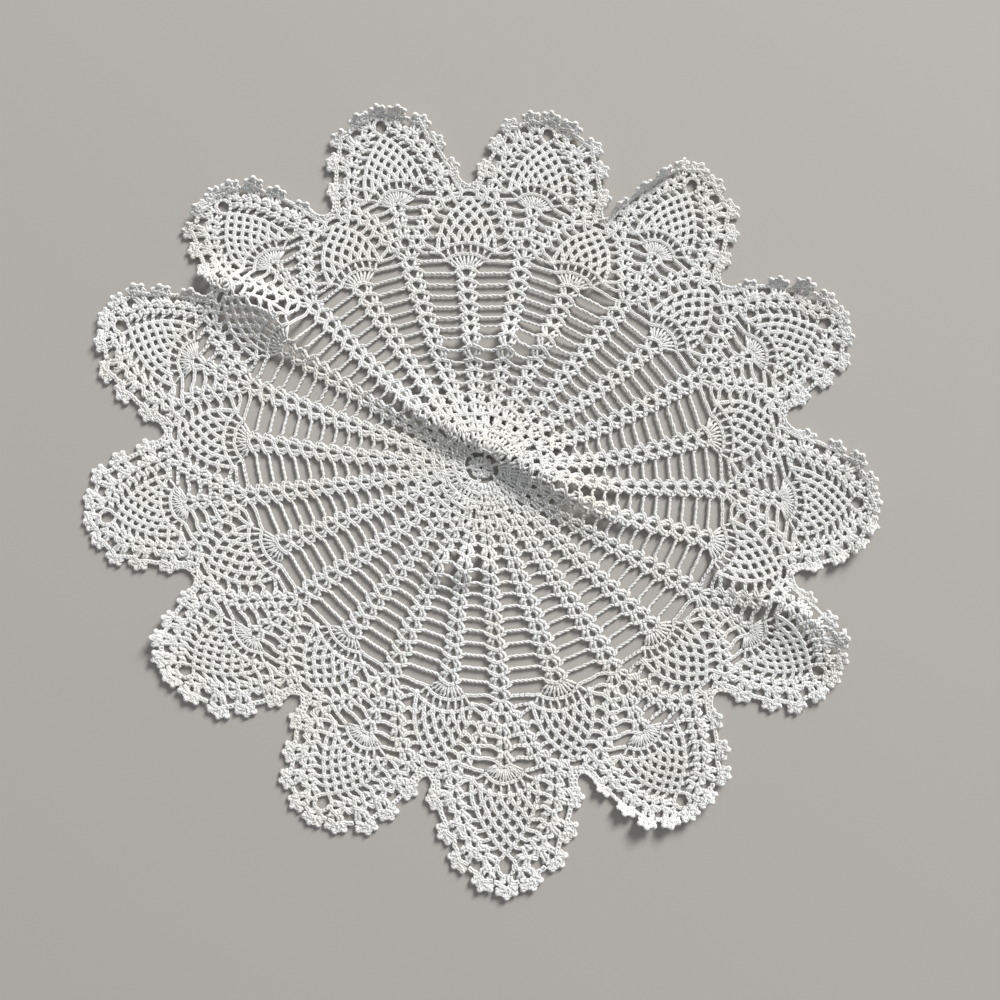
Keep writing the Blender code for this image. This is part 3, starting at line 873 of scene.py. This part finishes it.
def side_column(below, holes, half_holes, ends, inner_paths, seed):
    """Shells up the side of a scallop, and the chains of their rounds on both sides.

    ends are where each round goes on beyond the shell's pineapple side, and inner_paths
    are where it comes from, both as flat places.
    """
    below = on_scallop(below)
    holes = on_scallop(holes)
    runs = []
    for number, (hole, half_hole) in enumerate(zip(holes, half_holes)):
        climb = hole - below
        after = holes[number + 1] - hole if number + 1 < len(holes) else climb
        ahead = climb / np.hypot(*climb) + after / np.hypot(*after)
        ahead /= np.hypot(*ahead)
        shell = shell_stitches(below, hole, ahead, half_hole, SIDE_DROOP)
        runs += on_each_scallop(with_mirror(shell), seed + number)
        edge = np.array(shell_edge(hole, ahead, half_hole, SIDE_DROOP))
        joins = stitch_tops(edge)
        for path in ((inner_paths[number], edge[:1]), (edge[-1:], ends[number])):
            if len(path[0]) and len(path[1]):
                joins += chain(np.concatenate(path), thickness=JOIN_THREAD)
        runs += on_each_scallop(with_mirror(joins), seed + JOIN_SEED_STEP + number)
        below = hole
    return runs


# fan of round 15: feet, tops and top edge, across and out from the pineapple's middle line
INNER_FAN = (
    ((0.5, 113.7), (1.2, 113.5), (1.8, 113.1), (2.2, 112.6), (2.4, 112.0)),
    ((1.1, 120.6), (3.4, 120.1), (5.6, 119.2), (7.6, 118.0), (8.9, 116.4)),
    ((0.0, 121.0), (2.2, 120.9), (4.4, 120.4), (7.5, 119.0), (9.5, 117.3)),
)
INNER_FAN_GIRTH = 0.9
# single stitches of round 16 over it
INNER_POSTS = (
    ((1.9, 120.9), (5.3, 119.9), (8.2, 118.4), (9.6, 117.2)),
    ((2.1, 126.5), (6.1, 125.5), (9.8, 123.7), (13.4, 121.2)),
    ((0.0, 126.8), (3.9, 126.2), (7.8, 125.0), (10.3, 123.6), (12.5, 122.5), (14.2, 120.8)),
)
POST_GIRTH = 0.85
# where the loops' tops are knotted, row by row
INNER_KNOTS = (
    ((0.0, 126.9), (4.9, 126.1), (9.7, 124.1), (14.4, 120.7)),
    ((2.9, 132.3), (8.5, 130.8), (13.5, 130.0)),
    ((0.0, 136.2), (6.3, 135.3), (11.8, 135.0)),
    ((3.45, 139.4), (9.2, 139.7)),
    ((0.0, 142.9), (6.1, 143.2)),
    ((3.3, 146.0),),
    ((0.0, 149.2),),
)
# round 15 beside the fan: the shell of the widening rib, and its bar to the fan
WIDE_RIB_HOLE = 117.25
WIDE_RIB_HALF_HOLE = 1.7
WIDE_RIB_DROOP = 0.6
FAN_BAR = ((8.0, 116.4), (12.5, 116.3))
FAN_BAR_END = ((9.6, 116.9),)
# round 16: three pairs of stitches with two gaps, and the bar to the single stitches
PAIR_FEET = ((0.4, 119.0), (0.9, 118.7), (1.5, 118.3))
PAIR_TOPS = ((0.7, 124.5), (4.5, 123.4), (6.2, 121.9))
PAIR_LINE = (
    (0.0, 124.7), (1.3, 124.8), (2.9, 125.2), (4.3, 124.4), (6.0, 122.9), (7.6, 121.3), (10.5, 120.7),
)
PAIR_LINE_END = ((18.6, 119.7), (14.4, 120.5))
# the two columns of shells that start at round 17: foot, gaps and half gaps
SPLIT_FOOT = (2.8, 123.1)
SPLIT_HOLES = ((6.3, 127.6), (9.7, 132.2))
SPLIT_HALF_HOLES = (1.1, 0.9)
# shells on the middle line from round 18: the gap below, their own, half gap and droop
FIRST_MIDDLE_SHELL = (128.6, 134.6, 0.5, 0.2)
MIDDLE_SHELLS = ((134.6, 140.8, 0.6, 0.4), (140.8, 147.0, 1.3, 0.4))


def pineapple_fan_runs():
    """Rounds 15 to 18: where the ribs turn into pineapples and side shells."""
    runs = fan(*INNER_FAN, INNER_FAN_GIRTH, on_each_pineapple, seed=200)
    runs += fan(*INNER_POSTS, POST_GIRTH, on_each_pineapple, seed=202)
    shell = middle_shell(LAST_SHELL_HOLE, WIDE_RIB_HOLE, WIDE_RIB_HALF_HOLE, WIDE_RIB_DROOP)
    runs += on_each_scallop(shell, seed=210)
    edge = shell_edge(OUTWARD * WIDE_RIB_HOLE, OUTWARD, WIDE_RIB_HALF_HOLE, WIDE_RIB_DROOP)
    half_edge = edge[len(SHELL_EDGE) - 1:]
    path = np.concatenate([half_edge, on_scallop(FAN_BAR), beside_pineapple(FAN_BAR_END)])
    runs += on_each_scallop(with_mirror(chain(path)), seed=211)
    pairs = tall_stitches(whole_row(PAIR_FEET), whole_row(PAIR_TOPS))
    runs += on_each_scallop(pairs, seed=212)
    path = np.concatenate([on_scallop(PAIR_LINE), beside_pineapple(PAIR_LINE_END)])
    runs += on_each_scallop(with_mirror(chain(path)), seed=213)
    runs += on_each_scallop(middle_shell(*FIRST_MIDDLE_SHELL), seed=214)
    inner_paths = (
        on_scallop(((0.0, 130.6), (2.4, 130.5))),
        on_scallop(((0.0, 136.3), (1.7, 136.0), (3.6, 135.0))),
    )
    ends = (
        beside_pineapple(((17.0, 122.6), (14.4, 121.2))),
        beside_pineapple(((16.5, 128.2), (13.5, 129.8))),
    )
    return runs + side_column(SPLIT_FOOT, SPLIT_HOLES, SPLIT_HALF_HOLES, ends, inner_paths, seed=220)


pineapple_fans = crochet("pineapple_fans", pineapple_fan_runs())

# gaps of rounds 19 to 22 beside the inner pineapples
SIDE_HOLES = ((12.6, 137.3), (15.4, 142.3), (20.1, 145.8), (25.1, 150.2))
SIDE_HALF_HOLES = (0.9, 1.0, 1.0, 1.4)


def pineapple_top_runs():
    """The loops of the inner pineapples, and rounds 19 to 22 of the shells beside them."""
    runs = lattice(INNER_KNOTS, on_each_pineapple, seed=300)
    for number, shell in enumerate(MIDDLE_SHELLS):
        runs += on_each_scallop(middle_shell(*shell), seed=360 + number)
    inner_paths = (
        on_scallop(((0.0, 142.6), (1.7, 142.3), (3.4, 140.9), (6.8, 139.3))),
        on_scallop(((0.0, 148.9), (1.7, 148.6), (3.2, 147.2), (5.0, 145.7), (9.0, 144.8))),
        on_scallop(((10.0, 150.9), (13.0, 150.2))),
        on_scallop(((15.7, 154.2), (19.0, 153.2))),
    )
    ends = (
        beside_pineapple(((14.5, 134.2), (11.8, 134.8))),
        beside_pineapple(((12.0, 138.8), (9.2, 139.5))),
        beside_pineapple(((9.0, 142.9), (6.1, 143.0))),
        beside_pineapple(((6.2, 146.6), (3.3, 145.9))),
    )
    return runs + side_column(SPLIT_HOLES[-1], SIDE_HOLES, SIDE_HALF_HOLES, ends, inner_paths, seed=370)


pineapple_tops = crochet("pineapple_tops", pineapple_top_runs())

# --- Scallops --------------------------------------------------------------------
# Thirteen outer pineapples of the same cotton, made like the inner ones but with seven
# rows of loops. Columns of shells run up both sides of each and meet over its point.

# fan of round 21: feet, tops and top edge, across and out from the scallop's middle line
OUTER_FAN = (
    (
        (0.3, 149.7), (0.8, 149.5), (1.2, 149.2), (1.6, 148.9),
        (1.9, 148.5), (2.1, 148.1), (2.2, 147.7), (2.3, 147.3),
    ),
    (
        (0.8, 156.2), (2.5, 156.0), (4.1, 155.5), (5.6, 154.8),
        (7.0, 153.8), (8.1, 152.7), (8.9, 151.6), (9.4, 150.4),
    ),
    ((0.0, 156.6), (3.0, 156.3), (5.8, 155.2), (8.3, 153.2), (9.9, 151.4)),
)
OUTER_FAN_GIRTH = 0.72
# single stitches of round 22 over it
OUTER_POSTS = (
    ((1.9, 156.4), (5.0, 155.5), (7.7, 153.9), (9.5, 152.2)),
    ((2.0, 161.9), (5.9, 161.1), (10.0, 159.0), (14.6, 154.9)),
    ((0.0, 162.2), (3.0, 161.9), (6.1, 161.3), (9.4, 159.9), (12.8, 157.1), (15.5, 154.5)),
)
OUTER_KNOTS = (
    ((2.4, 161.7), (7.0, 160.4), (11.3, 157.8), (15.5, 154.5)),
    ((0.0, 167.0), (5.2, 167.0), (10.0, 165.0), (15.2, 161.4)),
    ((2.9, 170.8), (8.3, 169.5), (13.2, 168.2)),
    ((0.0, 174.5), (6.0, 173.6), (11.0, 173.4)),
    ((2.95, 177.8), (8.5, 177.7)),
    ((0.0, 181.2), (5.9, 181.4)),
    ((2.9, 185.0),),
    ((0.0, 188.2),),
)
UPPER_HOLES = (
    (23.7, 156.4), (22.6, 162.6), (21.4, 168.3), (19.3, 174.6),
    (17.0, 180.4), (14.8, 185.3), (10.6, 189.0), (6.3, 194.0),
)
UPPER_HALF_HOLES = (0.9, 1.0, 0.9, 1.0, 0.9, 1.0, 0.8, 0.9)
# where the chain from each row's last knot meets the shell beside it
BRIDGE_SHARE = 0.55
BRIDGE_PULL = (1.2, 0.4)
TIP_ARCH = ((0.0, 199.3), (1.5, 199.0), (2.8, 198.0), (3.5, 196.4), (3.6, 194.4))


def outer_pineapple_runs():
    """Rounds 21 to 29: the fans, single stitches and loops of the outer pineapples."""
    runs = fan(*OUTER_FAN, OUTER_FAN_GIRTH, on_each_scallop, seed=400)
    runs += fan(*OUTER_POSTS, POST_GIRTH, on_each_scallop, seed=402)
    return runs + lattice(OUTER_KNOTS, on_each_scallop, seed=410)


def scallop_side_runs():
    """From round 23 on: the shells beside the outer pineapples, and the arch over each."""
    inner_paths = []
    for row, hole in zip(OUTER_KNOTS, UPPER_HOLES):
        knot = np.array(row[-1])
        bridge = knot * (1.0 - BRIDGE_SHARE) + np.array(hole) * BRIDGE_SHARE - BRIDGE_PULL
        inner_paths.append(on_scallop((knot, bridge)))
    ends = [np.empty((0, 2))] * len(UPPER_HOLES)
    runs = side_column(SIDE_HOLES[-1], UPPER_HOLES, UPPER_HALF_HOLES, ends, inner_paths, seed=480)
    return runs + on_each_scallop(stitch_tops(whole_row(TIP_ARCH)), seed=499)


scallops = crochet("scallops", outer_pineapple_runs())
scallop_sides = crochet("scallop_sides", scallop_side_runs())

# --- Edging ----------------------------------------------------------------------
# The last rounds, in the same cotton: shells with open gaps between them along the sides
# of the scallops. In their gaps, but not at the notches, are fans of tall stitches that
# each carry three small picots.

# edge shells: the side gap each starts from, its own gap, its direction and half gap
EDGE_SHELLS = (
    ((25.1, 150.2), (31.0, 150.5), (1.0, 0.1), 0.7),
    ((22.6, 162.6), (28.8, 164.0), (1.0, 0.12), 0.8),
    ((19.3, 174.6), (25.2, 179.4), (0.86, 0.5), 0.8),
    ((14.8, 185.3), (20.2, 191.8), (0.72, 0.69), 0.8),
    ((6.3, 194.0), (9.7, 199.6), (0.35, 0.94), 0.8),
)
TIP_SHELL = ((0.0, 198.2), (0.0, 202.8), (0.0, 1.0), 0.6)
# thick chain that joins the edge shells on their outer side
EDGE_HALF_WIDTH = 0.6
EDGE_THREAD = 1.35
EDGE_CHAINS = (
    ((33.4, 152.9), (31.7, 155.4), (31.2, 158.2), (30.4, 160.6)),
    ((29.8, 167.4), (29.3, 170.6), (28.3, 173.6), (27.6, 176.0)),
    ((24.2, 183.2), (23.9, 185.6), (23.2, 187.8), (22.6, 189.0)),
    ((17.4, 195.6), (15.6, 197.4), (13.6, 198.6)),
    ((6.0, 201.6), (5.0, 202.0), (3.6, 202.6)),
)
NOTCH_LINE = ((37.6, 151.6), (35.5, 153.3), (33.8, 155.8), (33.2, 158.4), (32.4, 161.0))
NOTCH_FEET = ((32.4, 150.2), (32.4, 151.0), (32.0, 151.8))
NOTCH_TOPS = ((36.9, 150.0), (36.0, 151.8), (34.4, 153.8))
TOP_GAP_ARCH = ((0.0, 154.3), (2.4, 153.8), (4.0, 152.4))
TOP_GAP_SILL = ((0.0, 149.8), (3.4, 149.7), (7.2, 149.2))
# fans: the gap each is worked in, and its direction outward in degrees
EDGE_FANS = ((28.8, 164.0, 86.0), (25.2, 179.4, 62.0), (20.2, 191.8, 47.0), (9.7, 199.6, 24.0))
TIP_FAN = (0.0, 202.4)
FAN_TURNS = np.radians((-82.0, -54.0, -27.0, 0.0, 27.0, 54.0, 82.0))
RIM_TURNS = np.radians(np.linspace(-92.0, 92.0, 9))
FAN_FOOT = 1.7
FAN_GATHER = 0.08
FAN_HALF_WIDTH = 4.6
FAN_DEPTH = 3.9
FAN_GIRTH = 1.15
PICOT_TURNS = np.radians((-53.0, 0.0, 53.0))
PICOT_RADIUS = 0.78
PICOT_OVERLAP = 0.2
PICOT_HEIGHT = 1.4
PICOT_TILT = 0.3
PICOT_THREAD = 1.95
PICOT_STEPS = 7


def edge_fan(gap, facing):
    """A wide fan of tall stitches from one gap, the chain over them and three picots."""
    ahead = unit(facing)
    across = sideways(ahead)
    foot = gap + ahead * FAN_FOOT

    def on_rim(turns, out=0.0):
        """Places along the fan's rim, or a little outside it."""
        forward = np.outer(np.cos(turns), ahead * (FAN_DEPTH + out))
        return foot + forward + np.outer(np.sin(turns), across * (FAN_HALF_WIDTH + out))

    tops = on_rim(FAN_TURNS)
    stitches = tall_stitches(foot + (tops - foot) * FAN_GATHER, tops, FAN_GIRTH)
    around = np.linspace(0.0, 2.0 * math.pi, PICOT_STEPS + 1)
    loops = []
    for middle, turn in zip(on_rim(PICOT_TURNS, PICOT_RADIUS - PICOT_OVERLAP), PICOT_TURNS):
        ring = middle + unit(around + turn + facing + math.pi) * PICOT_RADIUS
        loops.append(of_thread(ring, PICOT_HEIGHT + PICOT_TILT * np.sin(around), PICOT_THREAD))
    return stitches + chain(on_rim(RIM_TURNS)) + [np.array(loops)]


def edging_runs():
    """The edging of every scallop, and of the notches between them."""
    runs = []
    for number, (start, gap, ahead, half_gap) in enumerate(EDGE_SHELLS + (TIP_SHELL,)):
        start, gap, ahead = on_scallop((start, gap, ahead))
        ahead = ahead / np.hypot(*ahead)
        stitches = shell_stitches(start, gap, ahead, half_gap, SIDE_DROOP)
        edge = stitch_tops(shell_edge(gap, ahead, half_gap, SIDE_DROOP))
        if number < len(EDGE_SHELLS):
            stitches = with_mirror(stitches)
            edge = with_mirror(edge)
        runs += on_each_scallop(stitches, seed=500 + number)
        runs += on_each_scallop(edge, seed=510 + number)
    for number, path in enumerate(EDGE_CHAINS + (NOTCH_LINE,)):
        stitches = with_mirror(chain(on_scallop(path), EDGE_HALF_WIDTH, EDGE_THREAD))
        runs += on_each_scallop(stitches, seed=520 + number)
    notch = tall_stitches(on_scallop(NOTCH_FEET), on_scallop(NOTCH_TOPS))
    runs += on_each_scallop(with_mirror(notch), seed=530)
    for number, path in enumerate((TOP_GAP_ARCH, TOP_GAP_SILL)):
        runs += on_each_pineapple(chain(whole_row(path)), seed=531 + number)
    return runs


def picot_runs():
    """The fans and picots round every scallop."""
    runs = []
    for number, (across, out, facing) in enumerate(EDGE_FANS):
        stitches = edge_fan(on_scallop((across, out)), math.radians(facing))
        runs += on_each_scallop(with_mirror(stitches), seed=540 + number)
    return runs + on_each_scallop(edge_fan(on_scallop(TIP_FAN), 0.0), seed=550)


edging = crochet("edging", edging_runs())
picots = crochet("picots", picot_runs())

# --- Floor, light and camera -----------------------------------------------------
# A plain pale floor, with one large soft light from the upper right and a pale room. The
# camera looks down from above, tipped a few degrees. Sizes here are in metres.
FLOOR_SIZE = 3.0
FLOOR_COLOUR = (0.43, 0.41, 0.38, 1.0)
bpy.ops.mesh.primitive_plane_add(size=FLOOR_SIZE)
floor = bpy.context.object
floor.name = "floor"
floor_paint = bpy.data.materials.new("floor_paint")
floor_paint.use_nodes = True
paint = floor_paint.node_tree.nodes["Principled BSDF"].inputs
paint["Base Color"].default_value = FLOOR_COLOUR
paint["Roughness"].default_value = 0.9
paint["Specular IOR Level"].default_value = 0.2
floor.data.materials.append(floor_paint)

WINDOW_PLACE = (2.7, 3.7, 3.1)
WINDOW_SIZE = 1.8
WINDOW_POWER = 385.0
window_light = bpy.data.lights.new("window", "AREA")
window_light.size = WINDOW_SIZE
window_light.energy = WINDOW_POWER
window = bpy.data.objects.new("window", window_light)
window.location = WINDOW_PLACE
# its face is square on to the middle of the doily
window.rotation_euler = (
    math.atan2(math.hypot(WINDOW_PLACE[0], WINDOW_PLACE[1]), WINDOW_PLACE[2]),
    0.0,
    math.atan2(WINDOW_PLACE[0], -WINDOW_PLACE[1]),
)
bpy.context.scene.collection.objects.link(window)

ROOM_COLOUR = (0.93, 0.96, 1.0, 1.0)
ROOM_STRENGTH = 0.36
room = bpy.data.worlds.new("room")
bpy.context.scene.world = room
room.use_nodes = True
background = room.node_tree.nodes["Background"].inputs
background["Color"].default_value = ROOM_COLOUR
background["Strength"].default_value = ROOM_STRENGTH
bpy.context.scene.view_settings.view_transform = "Standard"

CAMERA_LENS = 34.67
CAMERA_PLACE = (0.00986, -0.04216, 0.48484)
CAMERA_TILT = 4.45
view = bpy.data.cameras.new("view")
view.lens = CAMERA_LENS
camera = bpy.data.objects.new("view", view)
camera.location = CAMERA_PLACE
camera.rotation_euler = (math.radians(CAMERA_TILT), 0.0, 0.0)
bpy.context.scene.collection.objects.link(camera)
bpy.context.scene.camera = camera
